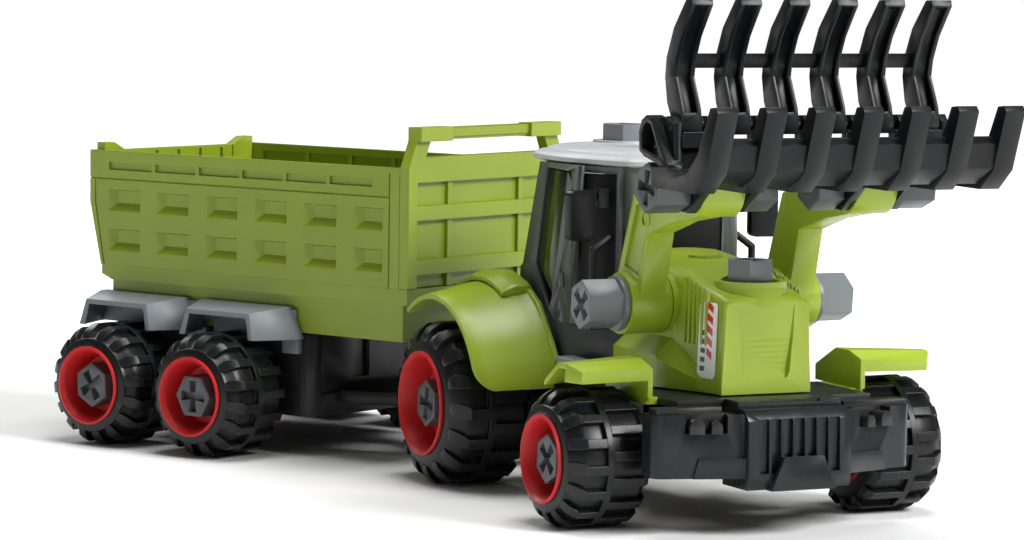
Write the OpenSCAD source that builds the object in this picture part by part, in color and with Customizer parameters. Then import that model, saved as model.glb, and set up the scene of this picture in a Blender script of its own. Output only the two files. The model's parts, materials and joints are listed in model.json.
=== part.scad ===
// Take-apart toy tractor with front rake loader and tipping dump trailer.
// Tractor faces -Y, +Z is up, X = 0 is the tractor's mid plane and Z = 0 the ground.
// The trailer is modelled in its own straight frame (nose towards -Y) and yawed about the hitch.

/* [Wheels] */
// Outside radius of the front and trailer tyres
small_tyre_r = 24; // [20:0.5:28]
// Outside radius of the rear tractor tyres
big_tyre_r = 30.2; // [26:0.2:34]
// Overall width of a small tyre
small_tyre_w = 32; // [26:0.5:34]
// Overall width of a big tyre
big_tyre_w = 33; // [28:0.5:34]
// Number of tread lugs on each half of a tyre
lug_count = 16; // [10:1:20]
// Depth of the tread lugs
lug_depth = 2.4; // [1.5:0.1:3]

/* [Screws] */
// Size of the plastic hex heads across flats
hex_af = 15.2; // [13:0.1:16]
// Radius of the screw shanks
shank_r = 4; // [3:0.1:4.5]
// Radial running clearance between shanks and bores
run_fit = 0.07; // [0.03:0.01:0.1]

/* [Tractor] */
// Distance from the mid plane to the outside of the front rims
front_track = 76; // [74:0.5:80]
// Distance from the mid plane to the outside of the rear rims
rear_track = 71.2; // [70:0.2:75]
// Position of the front axle along Y
front_axle_y = -69; // [-74:0.5:-66]
// Position of the rear axle along Y
rear_axle_y = 42.2; // [40:0.2:46]

/* [Loader] */
// Rest height of the rake hinge above the ground
hinge_z = 118.9; // [112:0.1:122]
// Pitch between neighbouring rake tines
tine_pitch = 18.2; // [16:0.1:19]
// Number of tines on the lower rake
lower_tines = 7; // [5:2:7]
// Number of tines on the grapple
upper_tines = 6; // [4:2:6]

/* [Trailer] */
// Rest yaw of the trailer about the hitch pin, degrees
trailer_yaw = 26.4; // [-30:0.2:30]
// Half the width of the tub over its side panels
tub_half = 48; // [46:0.5:48]
// Height of the tub rim above the ground
rim_z = 114.5; // [100:0.5:120]
// Wall thickness of the tub
tub_wall = 3.4; // [2:0.2:4]

/* [Output] */
// Which piece to draw

/* [Hidden] */
GREEN = [0.50, 0.62, 0.13];
BLACK = [0.07, 0.075, 0.08];
DARK = [0.20, 0.21, 0.22];
GREY = [0.45, 0.48, 0.50];
PALE = [0.68, 0.69, 0.69];
RED = [0.78, 0.05, 0.05];
GLASS = [0.12, 0.15, 0.08];
WHITE = [0.93, 0.93, 0.92];

// wheel dimensions derived from the tyres
small_lip_r = 15.4;
big_lip_r = 19.3;
head_inset = 3;
head_len = 7;
hub_in = 10.6;
// loader axes
pivot = [-52.5, 75];
hinge = [-103.6, hinge_z];
grapple_axis = [-116.5, 140.2];
arm_in = 22;
arm_out = 37.5;
head_long = 13;
// trailer frame
origin_dx = 40.7;
origin_dy = -57.3;
hitch_y = 62;
trailer_track = 80.7;
axle1_v = 122.2;
axle2_v = 176.4;
front_v = 40;
rear_v = 207;
tub_floor_z = 66;
skirt_half = 44;
tip_axis = [194, 53];
gate_axis = [204.2, 110.6];
gate_pin_r = 1.6;

// ---------- shared helpers ----------
module xcyl(r, x0, x1) {
  translate([x0, 0, 0])
    rotate([0, 90, 0])
      cylinder(r = r, h = x1 - x0, $fn = 64);
}
module xhex(af, x0, x1) {
  translate([x0, 0, 0])
    rotate([0, 90, 0])
      cylinder(r = af / sqrt(3), h = x1 - x0, $fn = 6);
}
// block given by two opposite corners
module box(a, b) {
  translate(a)
    cube(b - a);
}
// side profile (Y, Z points) drawn out along X
module side_plate(points, x0, x1) {
  translate([x0, 0, 0])
    rotate([90, 0, 90])
      linear_extrude(x1 - x0)
        polygon(points);
}
module both_sides() {
  children();
  mirror([1, 0, 0])
    children();
}
// moves the row origin from the tractor's mid plane to the centre of the whole footprint
module placed() {
  translate([origin_dx, origin_dy, 0])
    children();
}
module in_trailer() {
  translate([origin_dx, origin_dy + hitch_y, 0])
    rotate([0, 0, trailer_yaw])
      children();
}
// hex head with a flared cross recess, outer face at x = 0, shank running to +X
module hex_screw(head, shank_end, turn = 0, cross = 0) {
  rotate([turn, 0, 0])
    difference() {
      xhex(hex_af, 0, head);
      for (a = [cross, cross + 90])
        rotate([a, 0, 0])
          side_plate([[-6, -1.9], [0, -1.1], [6, -1.9], [6, 1.9], [0, 1.1], [-6, 1.9]], -1, 2.6);
    }
  xcyl(shank_r, head - 1, shank_end);
}

// ---------- wheels, outer rim plane at x = 0, inboard is +X ----------
module tyre(r, w, lip) {
  seat = lip - 0.8;
  core = r - lug_depth;
  lug_w = 2 * 3.1416 * r / lug_count * 0.52;
  difference() {
    intersection() {
      rotate([0, 90, 0])
        rotate_extrude($fn = 96)
          polygon([[seat, 1.3], [lip + 0.9, 1.3], [lip + 3.4, 1.8], [r - 2.6, 3.8], [r, 7],
            [r, w - 2.5], [r - 2, w], [seat, w]]);
      union() {
        rotate([0, 90, 0])
          rotate_extrude($fn = 96)
            polygon([[seat, 1.3], [lip + 0.9, 1.3], [lip + 3.2, 1.8], [core - 1.4, 4.6], [core, 7],
              [core, w - 3.2], [core - 2, w], [seat, w]]);
        lugs(r, 0, w / 2 + 0.6, lug_w, 0);
        lugs(r, w / 2 - 0.6, w, lug_w, 0.5);
      }
    }
    xcyl(seat, -1, w + 1);
  }
}
// star of tread lugs between two stations along the axle
module lugs(r, x0, x1, lug_w, phase) {
  translate([x0, 0, 0])
    rotate([0, 90, 0])
      linear_extrude(x1 - x0)
        for (i = [0 : lug_count - 1])
          rotate((i + phase) * 360 / lug_count)
            translate([r * 0.8, -lug_w / 2])
              square([r * 0.3, lug_w]);
}
module rim(w, lip) {
  seat = lip - 0.8;
  rotate([0, 90, 0])
    rotate_extrude($fn = 96)
      polygon([[lip - 0.7, 0], [lip, 0.3], [lip, 1.2], [seat, 1.3], [seat, w - 0.6],
        [seat - 2, w - 0.6], [lip - 5.6, hub_in + 3], [9, hub_in + 3], [9, w - 0.4],
        [shank_r + run_fit, w - 0.4], [shank_r + run_fit, hub_in], [lip - 4.4, hub_in], [lip - 1.7, 1.2]]);
}
module axle_screw(side, track, y, z, end, turn = 0, cross = 0) {
  mirror([side, 0, 0])
    translate([-track + head_inset, y, z])
      hex_screw(head_len, track - head_inset - end, turn, cross);
}
module small_tyre() {
  tyre(small_tyre_r, small_tyre_w, small_lip_r);
}
module small_rim() {
  rim(small_tyre_w, small_lip_r);
}
// side = 0 for the -X wheel, 1 for the +X wheel
module at_front(side) {
  placed()
  mirror([side, 0, 0])
    translate([-front_track, front_axle_y, small_tyre_r])
      children();
}
module at_rear(side) {
  placed()
  mirror([side, 0, 0])
    translate([-rear_track, rear_axle_y, big_tyre_r])
      children();
}
module at_trailer(side, v) {
  in_trailer()
    mirror([side, 0, 0])
      translate([-trailer_track, v, small_tyre_r])
        children();
}
module tyre_fl() { color(BLACK) at_front(1) small_tyre(); }
module tyre_fr() { color(BLACK) at_front(0) small_tyre(); }
module rim_fl() { color(RED) at_front(1) small_rim(); }
module rim_fr() { color(RED) at_front(0) small_rim(); }
module tyre_rl() { color(BLACK) at_rear(1) tyre(big_tyre_r, big_tyre_w, big_lip_r); }
module tyre_rr() { color(BLACK) at_rear(0) tyre(big_tyre_r, big_tyre_w, big_lip_r); }
module rim_rl() { color(RED) at_rear(1) rim(big_tyre_w, big_lip_r); }
module rim_rr() { color(RED) at_rear(0) rim(big_tyre_w, big_lip_r); }
module tyre_t1l() { color(BLACK) at_trailer(1, axle1_v) small_tyre(); }
module tyre_t1r() { color(BLACK) at_trailer(0, axle1_v) small_tyre(); }
module rim_t1l() { color(RED) at_trailer(1, axle1_v) small_rim(); }
module rim_t1r() { color(RED) at_trailer(0, axle1_v) small_rim(); }
module tyre_t2l() { color(BLACK) at_trailer(1, axle2_v) small_tyre(); }
module tyre_t2r() { color(BLACK) at_trailer(0, axle2_v) small_tyre(); }
module rim_t2l() { color(RED) at_trailer(1, axle2_v) small_rim(); }
module rim_t2r() { color(RED) at_trailer(0, axle2_v) small_rim(); }
module front_axle_screws() {
  color(GREY) placed()
    for (side = [0, 1])
      axle_screw(side, front_track, front_axle_y, small_tyre_r, 30, 4, 40);
}
module rear_axle_screws() {
  color(GREY) placed()
    for (side = [0, 1])
      axle_screw(side, rear_track, rear_axle_y, big_tyre_r, 26, 0, 8);
}
module trailer_axle_screws() {
  color(GREY)
    in_trailer()
      for (side = [0, 1], v = [axle1_v, axle2_v])
        axle_screw(side, trailer_track, v, small_tyre_r, 36, v < 150 ? 90 : 58, 0);
}

// ---------- tractor frame and front end ----------
module chassis_frame() {
  color(BLACK) placed()
    difference() {
      union() {
        box([-18, -97.5, 18], [18, 36, 43]);
        side_plate([[36, 22], [52, 26.2], [70, 26.2], [70, 30], [56, 30], [51, 34], [36, 43]], -10, 10);
        box([-27, -52, 36], [27, 36, 43]);
        translate([0, front_axle_y, small_tyre_r])
          xcyl(7, -43.4, 43.4);
        translate([0, rear_axle_y, big_tyre_r])
          xcyl(8, -37.6, 37.6);
      }
      translate([0, front_axle_y, small_tyre_r])
        both_sides()
          xcyl(shank_r, -44, -30);
      translate([0, rear_axle_y, big_tyre_r])
        both_sides()
          xcyl(shank_r, -38, -26);
      translate([0, hitch_y, 20])
        cylinder(r = 3, h = 14, $fn = 48);
      // hollow underside between the cross tubes
      for (y = [[-95, -78], [-60, -34], [-32, -4], [-2, 32]])
        box([-15.4, y[0], 10], [15.4, y[1], 40.4]);
    }
}
module front_bumper() {
  color(DARK) placed()
    difference() {
      union() {
        translate([0, 0, 20.5])
          linear_extrude(21.5)
            union() {
              polygon([[-45.4, -96], [-50.4, -96], [-50.4, -101], [-46.6, -105.84], [-22, -112.4], [22, -112.4],
                [46.6, -105.84], [50.4, -101], [50.4, -96], [45.4, -96], [42, -97.7], [-42, -97.7]]);
              for (x = [-45.4, 45.4])
                translate([x, -101])
                  circle(r = 5, $fn = 64);
            }
        side_plate([[-97.7, 16.5], [-115, 16.5], [-116, 20], [-115.4, 40], [-112, 43.6], [-97.7, 43.6]],
          -20, 20);
        translate([0, -113, 0])
          rotate([90, 0, 0])
            linear_extrude(6)
              polygon([[-12.5, 16.4], [12.5, 16.4], [7.6, 27.9], [-7.6, 27.9]]);
        both_sides()
          intersection() {
            translate([0, 0, 20.5])
              linear_extrude(7)
                polygon([[-40, -100], [-40, -108.7], [-19, -114.3], [-19, -100]]);
            rotate([90, 0, 0])
              linear_extrude(120)
                polygon([[-37.6, 20], [-35.6, 28], [-18, 28], [-18, 20]]);
          }
      }
      for (i = [0 : 6])
        box([-15.6 + i * 4.6, -117, 22], [-12 + i * 4.6, -113.6, 40.5]);
      both_sides()
        niche_cut();
    }
}
// open pocket for one pair of lamps
module niche_cut() {
  translate([-33, -109.5, 35.8])
    rotate([0, 0, -15])
      translate([-7.4, -4, 0])
        cube([14.8, 14, 8]);
}
module front_deck() {
  color(BLACK) placed() {
    difference() {
      union() {
        box([-20, -108, 43.6], [20, -98, 46]);
        box([-38, -97.7, 43], [38, -60, 45.6]);
        box([-27, -60, 43], [27, 36, 45.6]);
        both_sides()
          box([-49, -103.6, 42], [-24, -97.8, 44]);
        both_sides()
          lamp_pair();
      }
      box([-11.8, -109, 45], [11.8, -106.8, 47]);
    }
  }
}
module lamp_pair() {
  translate([-33, -109.5, 35.8])
    rotate([0, 0, -15]) {
      translate([-3.6, 4.2, 2.6])
        rotate([90, 0, 0])
          cylinder(r = 2.6, h = 6.6, $fn = 48);
      translate([-6.2, -2.4, 0])
        cube([5.2, 6.6, 2.6]);
      translate([3.4, 4.2, 2.2])
        rotate([90, 0, 0])
          cylinder(r = 1.9, h = 6, $fn = 48);
      translate([1.5, -1.8, 0])
        cube([3.8, 6, 2.2]);
      translate([-7, 4.2, 0])
        cube([14, 5.6, 6.4]);
    }
}
module hood() {
  color(GREEN) placed()
    difference() {
      union() {
        hull() {
          translate([-17.3, -91.4, 46])
            cube([34.6, 1, 1]);
          translate([-16, -90.6, 76])
            cube([32, 1, 1]);
          translate([-13.5, -89, 79])
            cube([27, 1, 1]);
          translate([-19.2, -29, 46])
            cube([38.4, 1, 1]);
          translate([-19.2, -29, 84])
            cube([38.4, 1, 1]);
          translate([-14, -29, 91])
            cube([28, 1, 1]);
        }
        hull() {
          translate([-27, -60, 46])
            cube([54, 32, 10]);
          translate([-17.6, -86, 46])
            cube([35.2, 1, 1]);
          translate([-19, -57, 46])
            cube([38, 29, 16]);
        }
        translate([0, -78.5, 70])
          cylinder(r = 12.8, h = 14, $fn = 96);
        translate([0, pivot[0], pivot[1]])
          xcyl(10.2, -21.6, 21.6);
      }
      translate([0, -78.5, 60])
        cylinder(r = shank_r, h = 30, $fn = 48);
      translate([0, -78.5, 82.6])
        cylinder(r = 10.2, h = 4, $fn = 96);
      translate([0, pivot[0], pivot[1]])
        both_sides()
          xcyl(shank_r, -22, -8);
      for (s = [-1, 1], i = [0 : 4])
        box([s * 18.4 - 1.6, -75.2 + i * 2.6, 62.5 + i], [s * 18.4 + 1.6, -74 + i * 2.6, 78 + i]);
      side_plate([[-93, 50], [-89.6, 49], [-89.2, 73], [-93, 75]], -10.5, 10.5);
    }
}
// rounded label, one on each cheek of the hood, without any lettering
module hood_stickers() {
  color(WHITE) placed()
    both_sides()
      translate([-17.64, -82, 64.3])
        rotate([0, 2.55, 3.17])
          rotate([90, 0, 90])
            linear_extrude(0.5)
              union() {
                square([8.4, 26], center = true);
                square([10.8, 23.4], center = true);
              }
}
module top_screws() {
  color(GREY) placed() {
    translate([0, -78.5, 91.6])
      rotate([0, 90, 0])
        hex_screw(9, 30);
    translate([0, 18.6, 134])
      rotate([0, 90, 0])
        hex_screw(6, 12);
  }
}

// ---------- cab ----------
module cab_plan(inset, z0, z1) {
  translate([0, 0, z0])
    linear_extrude(z1 - z0)
      polygon([[-33 + inset, 37 - inset], [-33 + inset, -4], [-22 + inset, -26 + inset],
        [22 - inset, -26 + inset], [33 - inset, -4], [33 - inset, 37 - inset]]);
}
module cab_base() {
  color(DARK) placed() {
    difference() {
      intersection() {
        cab_plan(0, 45.6, 120.5);
        side_plate([[-27, 45.6], [-27, 62.5], [8, 63], [13, 67], [20.4, 77], [23.6, 83], [15.2, 120.5],
          [21.4, 120.5], [34.6, 82], [38, 80], [38, 45.6]], -40, 40);
      }
      cab_plan(2.5, 56, 122);
    }
    // rear wall around the back window
    difference() {
      side_plate([[18.8, 120.5], [32, 82], [34.5, 80], [34.5, 84], [21.4, 120.5]], -31, 31);
      side_plate([[10, 116], [10, 88], [50, 88], [50, 116]], -26, 26);
    }
  }
}
module cab_frame() {
  color(GREY) placed()
    difference() {
      union() {
        both_sides() {
          // pillar behind the door and the strip over the quarter window
          side_plate([[-10, 120.5], [15, 120.5], [15.2, 118.7], [-1.6, 118.2], [10.4, 70.2], [12.4, 67.4],
            [7.8, 63.3], [-4, 63]], -33, -30.4);
          translate([-33, -4, 0])
            rotate([0, 0, -63.5])
              translate([0, 0, 63])
                difference() {
                  cube([24.4, 2.6, 57.5]);
                  translate([3.6, -1, 3])
                    cube([17, 5, 52]);
                }
          box([-23, -27.4, 63], [-17.4, -24, 120.5]);
          // hinge knuckles of the door
          for (z = [76, 106])
            translate([-33.4, 1.2 - (z - 76) * 0.25, z])
              cylinder(r = 1.3, h = 5, $fn = 48);
        }
        box([-23, -27.4, 116.5], [23, -24, 120.5]);
      }
      box([-40, -30, 40], [40, -24, 62.8]);
    }
}
module cab_glass() {
  color(GLASS) placed() {
    both_sides()
      side_plate([[14.6, 118.2], [-1.2, 117.4], [10.6, 71.6], [22.6, 82.6]], -32.2, -31);
    side_plate([[19.8, 115.4], [29.6, 88.4], [30.8, 88.4], [21, 115.4]], -25.6, 25.6);
  }
}
module cab_doors() {
  color(BLACK) placed() {
    both_sides()
      translate([-33, -4, 0])
        rotate([0, 0, -63.5])
          translate([4.4, 0.9, 66.2])
            cube([16, 1.2, 51.6]);
    box([-17.2, -26, 63.2], [17.2, -24.8, 116.3]);
  }
}
module cab_seat() {
  color(BLACK) placed() {
    side_plate([[-2, 56], [-2, 70], [14, 68], [19, 92], [24, 91], [20, 56]], -10, 10);
    side_plate([[-20, 56], [-14, 80], [-11, 80], [-14, 56]], -3, 3);
  }
}
module cab_roof() {
  color(PALE) placed()
    difference() {
      union() {
        translate([0, 0, 120.5])
          linear_extrude(4.2)
            polygon([[-30.6, 34], [-32.5, 10], [-31, -4], [-22, -30], [22, -30], [31, -4],
              [32.5, 10], [30.6, 34], [26, 37], [-26, 37]]);
        translate([0, 0, 124.7])
          linear_extrude(2)
            polygon([[-28, 33], [-30, 10], [-28.5, -3], [-20, -27], [20, -27], [28.5, -3],
              [30, 10], [28, 33]]);
        translate([0, 18.6, 126.7])
          cylinder(r = 12, h = 1.3, $fn = 96);
      }
      translate([0, 18.6, 121])
        cylinder(r = shank_r, h = 10, $fn = 48);
      for (s = [-1, 1], i = [0 : 2])
        translate([s * 12, -16 + i * 6, 125.4])
          rotate([0, 0, s * 25])
            box([-5, -0.8, 0], [5, 0.8, 3]);
    }
}
module mirror_right() {
  color(DARK) placed()
    mirror_shape();
}
module mirror_left() {
  color(DARK) placed()
    mirror([1, 0, 0])
      mirror_shape();
}
module round_rect(w, h, r) {
  square([w, h - 2 * r], center = true);
  square([w - 2 * r, h], center = true);
  for (x = [-1, 1], y = [-1, 1])
    translate([x * (w / 2 - r), y * (h / 2 - r)])
      circle(r = r, $fn = 48);
}
module mirror_shape() {
  translate([-37.2, -20.4, 94.5])
    rotate([0, 0, 6])
      translate([0, 2.2, 9])
        rotate([90, 0, 0])
          linear_extrude(4.4)
            round_rect(10.4, 18, 2);
  box([-36, -21, 108.6], [-30.4, -18.4, 111.4]);
  side_plate([[-22, 106], [-18, 106], [-18, 113], [-22, 113]], -30.6, -26.6);
}
module handrails() {
  color(BLACK) placed()
    both_sides() {
      translate([-32.4, -21.4, 64])
        cylinder(r = 1.3, h = 27, $fn = 32);
      translate([-32.4, -21.4, 91])
        sphere(r = 1.3, $fn = 32);
      translate([-32.4, -21.4, 91])
        rotate([0, 55, 0])
          cylinder(r = 1.3, h = 8.2, $fn = 32);
      box([-33.8, -22.8, 62.6], [-25.4, -20, 64.4]);
    }
}

// ---------- fenders and steps ----------
// flat slab between two lines, each from its inner end to its outer end
module slab(i0, o0, i1, o1, t) {
  hull()
    for (p = [i0, o0, i1, o1])
      translate(p)
        cube([0.4, 0.4, t]);
}
module front_fender_shape() {
  // crown, folded front strip and a slope that drops towards the outer rear corner
  slab([-41.8, -77, 56.8], [-71.6, -80.6, 56], [-41.8, -68, 56.8], [-72.4, -75.6, 56], 1.7);
  slab([-41.8, -85.6, 54.2], [-68, -85.6, 53.6], [-41.8, -76.8, 56.8], [-71.6, -80.6, 56], 1.7);
  slab([-41.8, -68.2, 56.8], [-72.4, -75.8, 56], [-41.8, -54, 49.6], [-73.4, -67.4, 49.2], 1.7);
  slab([-41.8, -85.6, 51.6], [-68, -85.6, 51.2], [-41.8, -85.6, 54.4], [-68, -85.6, 53.8], 1.5);
  slab([-68.2, -85.6, 51.2], [-72, -80.4, 51.6], [-68.2, -85.6, 53.8], [-71.8, -80.6, 56], 1.3);
  side_plate([[-85.6, 45.6], [-85.6, 55.4], [-77, 58.2], [-68, 58.2], [-54, 50.8], [-54, 45.6]], -43, -41.2);
  box([-43, -84, 43.2], [-38.2, -60, 45.6]);
}
module front_fender_right() {
  color(GREEN) placed()
    front_fender_shape();
}
module front_fender_left() {
  color(GREEN) placed()
    mirror([1, 0, 0])
      front_fender_shape();
}
// conical shell around the rear tyre, with a hump beside the cab
module rear_fender_shape() {
  difference() {
    union() {
      translate([0, rear_axle_y, big_tyre_r])
        rotate([0, 90, 0])
          rotate_extrude(angle = 114, start = 144, $fn = 96)
            polygon([[38.4, -66], [40.2, -66], [46.9, -36], [45.1, -36]]);
      translate([0, rear_axle_y, big_tyre_r])
        rotate([0, 90, 0])
          rotate_extrude(angle = 54, start = 151, $fn = 96)
            polygon([[45, -47], [46.4, -47], [48.8, -42], [48.8, -36], [45, -36]]);
      side_plate([[0, 45.6], [-2, 50], [4, 58], [14, 69.4], [26, 76], [42, 78.6], [56, 76], [64, 71],
        [60, 68], [52, 72], [42, 73.5], [30, 72.4], [18, 67], [8, 57], [5, 45.6]], -37.4, -35.4);
    }
    box([-38, -10, 20], [-30, 80, 45.6]);
    // rounded lower corner at the front
    translate([0, 14, 0])
      rotate([90, 0, 0])
        linear_extrude(40)
          difference() {
            translate([-68, 30])
              square([11, 17.4]);
            translate([-57, 47.4])
              circle(r = 9, $fn = 96);
          }
  }
}
module rear_fender_right() {
  color(GREEN) placed()
    rear_fender_shape();
}
module rear_fender_left() {
  color(GREEN) placed()
    mirror([1, 0, 0])
      rear_fender_shape();
}
module side_steps() {
  color(GREY) placed()
    both_sides() {
      box([-40, -22, 43.4], [-27, -7, 45.4]);
      box([-40, -22, 45.4], [-33.2, -8, 52]);
    }
}
module hitch_pin() {
  color(GREY) placed()
    translate([0, hitch_y, 0]) {
      translate([0, 0, 17.2])
        cylinder(r = 3, h = 15, $fn = 48);
      translate([0, 0, 30])
        cylinder(r = 5, h = 2.4, $fn = 48);
      translate([0, 0, 17.2])
        cylinder(r = 4.6, h = 2, $fn = 48);
    }
}

// ---------- loader ----------
module arm_shape() {
  difference() {
    union() {
      translate([0, pivot[0], pivot[1]])
        xcyl(10.8, -arm_out, -arm_in);
      translate([0, hinge[0], hinge[1]])
        xcyl(10.2, -arm_out, -arm_in);
      side_plate([[-44.4, 82], [-56.4, 113], [-60.5, 114.2], [-70, 115.4], [-97, 127], [-105, 109],
        [-86, 106], [-68.4, 100.8], [-62.6, 77], [-50, 68]], -34.6, -24.8);
    }
    translate([0, pivot[0], pivot[1]])
      xcyl(shank_r + run_fit, -40, -20);
    translate([0, hinge[0], hinge[1]])
      xcyl(shank_r, -40, -20);
    side_plate([[-50, 88], [-58.5, 110], [-62, 110.8], [-66, 100.5], [-60.5, 84]], -36, -33.2);
  }
  translate([0, -65.6, 105.4])
    difference() {
      xcyl(3.4, -35, -34);
      xcyl(2.3, -36, -33);
    }
}
module arm_right() {
  color(GREEN) placed()
    arm_shape();
}
module arm_left() {
  color(GREEN) placed()
    mirror([1, 0, 0])
      arm_shape();
}
// screws the loader arms turn on, screwed into the hood cheeks
module pivot_screws() {
  color(GREY) placed()
    both_sides()
      translate([-39.6 - head_long, pivot[0], pivot[1]]) {
        hex_screw(head_long, 39.6 + head_long - 9, 6, 42);
        difference() {
          xcyl(9.6, head_long - 0.2, head_long + 1.7);
          xcyl(shank_r, head_long - 1, head_long + 3);
        }
      }
}
module hinge_screws() {
  color(GREY) placed()
    both_sides()
      translate([-41.4 - head_long, hinge[0], hinge[1]])
        hex_screw(head_long, 41.4 + head_long - 8, 8, 0);
}
module hinge_nuts() {
  color(GREY) placed()
    both_sides()
      translate([0, hinge[0], hinge[1]])
        difference() {
          xhex(hex_af, -18, -8);
          xcyl(shank_r, -19, -7);
        }
}
module rake() {
  half = (lower_tines - 1) / 2 * tine_pitch;
  color(BLACK) placed() {
    difference() {
      union() {
        // tines: upright prong, bend and lower leg
        for (i = [0 : lower_tines - 1])
          side_plate([[-114.5, 119.8], [-144.5, 119.5], [-152.6, 126.4], [-159.6, 146.4], [-158, 148.2],
            [-154.4, 147.8], [-146.2, 132], [-139, 125.8], [-114.5, 126.6]],
            -half + i * tine_pitch - 3.8, -half + i * tine_pitch + 3.8);
        // cross beam with its ledge, and the floor
        side_plate([[-152.4, 127], [-153.6, 135.4], [-151.6, 137.6], [-148, 137.6], [-146, 131.6],
          [-140.5, 126], [-114.5, 126], [-114.5, 121.4], [-144, 121.4]], -half, half);
        // hinge lugs either side of each loader arm
        both_sides()
          for (x = [-41, -21.6])
            side_plate([[-114, 126], [-122, 126], [-122, 121], [-108, 110.4], [-99, 111], [-95, 118.9],
              [-99, 127.4], [-108, 128.4]], x, x + 3.2);
        // end hoops
        both_sides()
          hoop();
        // knuckles that carry the grapple pin
        for (i = [1 : upper_tines - 1])
          knuckle((i - upper_tines / 2) * 18.44 - 3.2, (i - upper_tines / 2) * 18.44 + 3.2);
        knuckle(-53, -50.3);
        knuckle(50.3, 53);
        // back wall between floor and knuckles
        side_plate([[-115.2, 122], [-118, 122], [-118, 135.8], [-115.4, 135.8]], -53, 53);
      }
      translate([0, hinge[0], hinge[1]])
        xcyl(shank_r + run_fit, -60, 60);
      translate([0, grapple_axis[0], grapple_axis[1]])
        xcyl(1.6, -62, 62);
      translate([0, hinge[0], hinge[1]])
        both_sides()
          xcyl(9.4, -56, -41.2);
    }
  }
}
module knuckle(x0, x1) {
  side_plate([[-114.6, 122.4], [-120.6, 122.4], [-120, 141.4], [-118, 143.6], [-114.4, 143.4],
    [-112.6, 141], [-113, 134]], x0, x1);
}
// rounded strap at the rake's ends, open sideways
module hoop() {
  difference() {
    side_plate([[-101, 131.4], [-100.6, 137.6], [-102.4, 141.6], [-106, 143.4], [-110.4, 142.6],
      [-121.4, 127.6], [-121.4, 122], [-114.6, 122], [-114.6, 127.4], [-104.4, 129.6]], -56, -50.3);
    side_plate([[-103.2, 132.2], [-102.8, 137.2], [-104, 139.8], [-106.2, 141], [-109, 140.4],
      [-115.6, 130.2], [-111.6, 130.4]], -57, -49);
  }
}
module grapple_pin() {
  color(BLACK) placed()
    translate([0, grapple_axis[0], grapple_axis[1]])
      xcyl(1.6, -53, 53);
}
module grapple() {
  half = (upper_tines - 1) / 2 * 18.44;
  color(BLACK) placed()
    difference() {
      union() {
        for (i = [0 : upper_tines - 1]) {
          x = -half + i * 18.44;
          side_plate([[-119.6, 140], [-118.4, 146], [-113.4, 156.4], [-114.4, 162], [-118, 170],
            [-125.6, 180.6], [-125, 182.6], [-121.4, 182.4], [-112.8, 172.6], [-108, 162.6],
            [-107.2, 156], [-109, 147.6], [-113.2, 140.6], [-114.6, 137.2], [-118.6, 137.2]],
            x - 3.9, x + 3.9);
        }
        side_plate([[-111.2, 159.2], [-107.6, 159.2], [-108.4, 164], [-111.6, 164]], -half, half);
      }
      for (i = [0 : upper_tines - 1]) {
        x = -half + i * 18.44;
        side_plate([[-120.6, 144.6], [-116, 144.6], [-111.4, 156.2], [-112.4, 162.4], [-117, 171.4],
          [-122.6, 179.4], [-128, 181], [-128, 150]], x - 2.3, x + 2.3);
      }
      translate([0, grapple_axis[0], grapple_axis[1]])
        xcyl(1.6 + run_fit, -60, 60);
    }
}

// ---------- trailer ----------
module trailer_chassis() {
  color(BLACK)
    in_trailer()
      difference() {
        union() {
          box([-38, 90, 15.4], [38, 170, 47.4]);
          box([-44, 96, 15.4], [44, 170, 47.4]);
          both_sides()
            translate([38, 96, 15.4])
              cylinder(r = 5.9, h = 32, $fn = 48);
          box([-40.6, 169, 15.4], [40.6, 198, 47.4]);
          for (v = [axle1_v, axle2_v])
            translate([0, v, small_tyre_r])
              xcyl(6.5, -48.2, 48.2);
          // ears that carry the tipping pin
          both_sides()
            translate([37, 0, 0]) {
              box([0, 190, 47], [3.6, 198, 53]);
              translate([0, tip_axis[0], tip_axis[1]])
                xcyl(4, 0, 3.6);
            }
        }
        for (v = [axle1_v, axle2_v])
          translate([0, v, small_tyre_r])
            both_sides()
              xcyl(shank_r, -49, -36);
        for (v = [[94, 113], [131, 167], [172, 194]])
          box([-34, v[0], 10], [34, v[1], 44.8]);
        box([-39, 89, 24.4], [39, 90.8, 25.2]);
        box([-19.4, 89, 29.5], [-10.6, 92, 44]);
        box([10.6, 89, 29.5], [19.4, 92, 44]);
        translate([0, tip_axis[0], tip_axis[1]])
          xcyl(2.5, -60, 60);
      }
}
module drawbar() {
  color(BLACK)
    in_trailer()
      difference() {
        union() {
          translate([0, 0, 20])
            cylinder(r = 8, h = 5.4, $fn = 64);
          translate([0, 0, 20])
            linear_extrude(5.4)
              polygon([[-7.6, 0], [-7.6, 40], [-29, 84], [-29, 89.8], [29, 89.8], [29, 84], [7.6, 40], [7.6, 0]]);
        }
        translate([0, 0, 19])
          cylinder(r = 3 + run_fit, h = 8, $fn = 48);
        translate([0, 0, 19])
          linear_extrude(8)
            polygon([[-3.5, 52], [-14, 76], [14, 76], [3.5, 52]]);
        translate([0, 0, 19])
          cylinder(r = 5.2, h = 1.5, $fn = 48);
      }
}
// two tapered arches joined by the wall they hang from
module trailer_fender_shape() {
  for (v = [axle1_v, axle2_v])
    translate([0, v + 1, 0])
      difference() {
        arch(0, 58.2, 45.8, 0);
        arch(1.8, 56.4, 44, 3.5);
      }
  difference() {
    box([-46.6, 98, 46], [-44.4, 201, 57]);
    box([-48, 140, 40], [-43, 158, 50]);
  }
  box([-46.6, 96, 40], [-44, 104, 47]);
  box([-46.6, 144, 40], [-44, 154, 47]);
}
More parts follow.
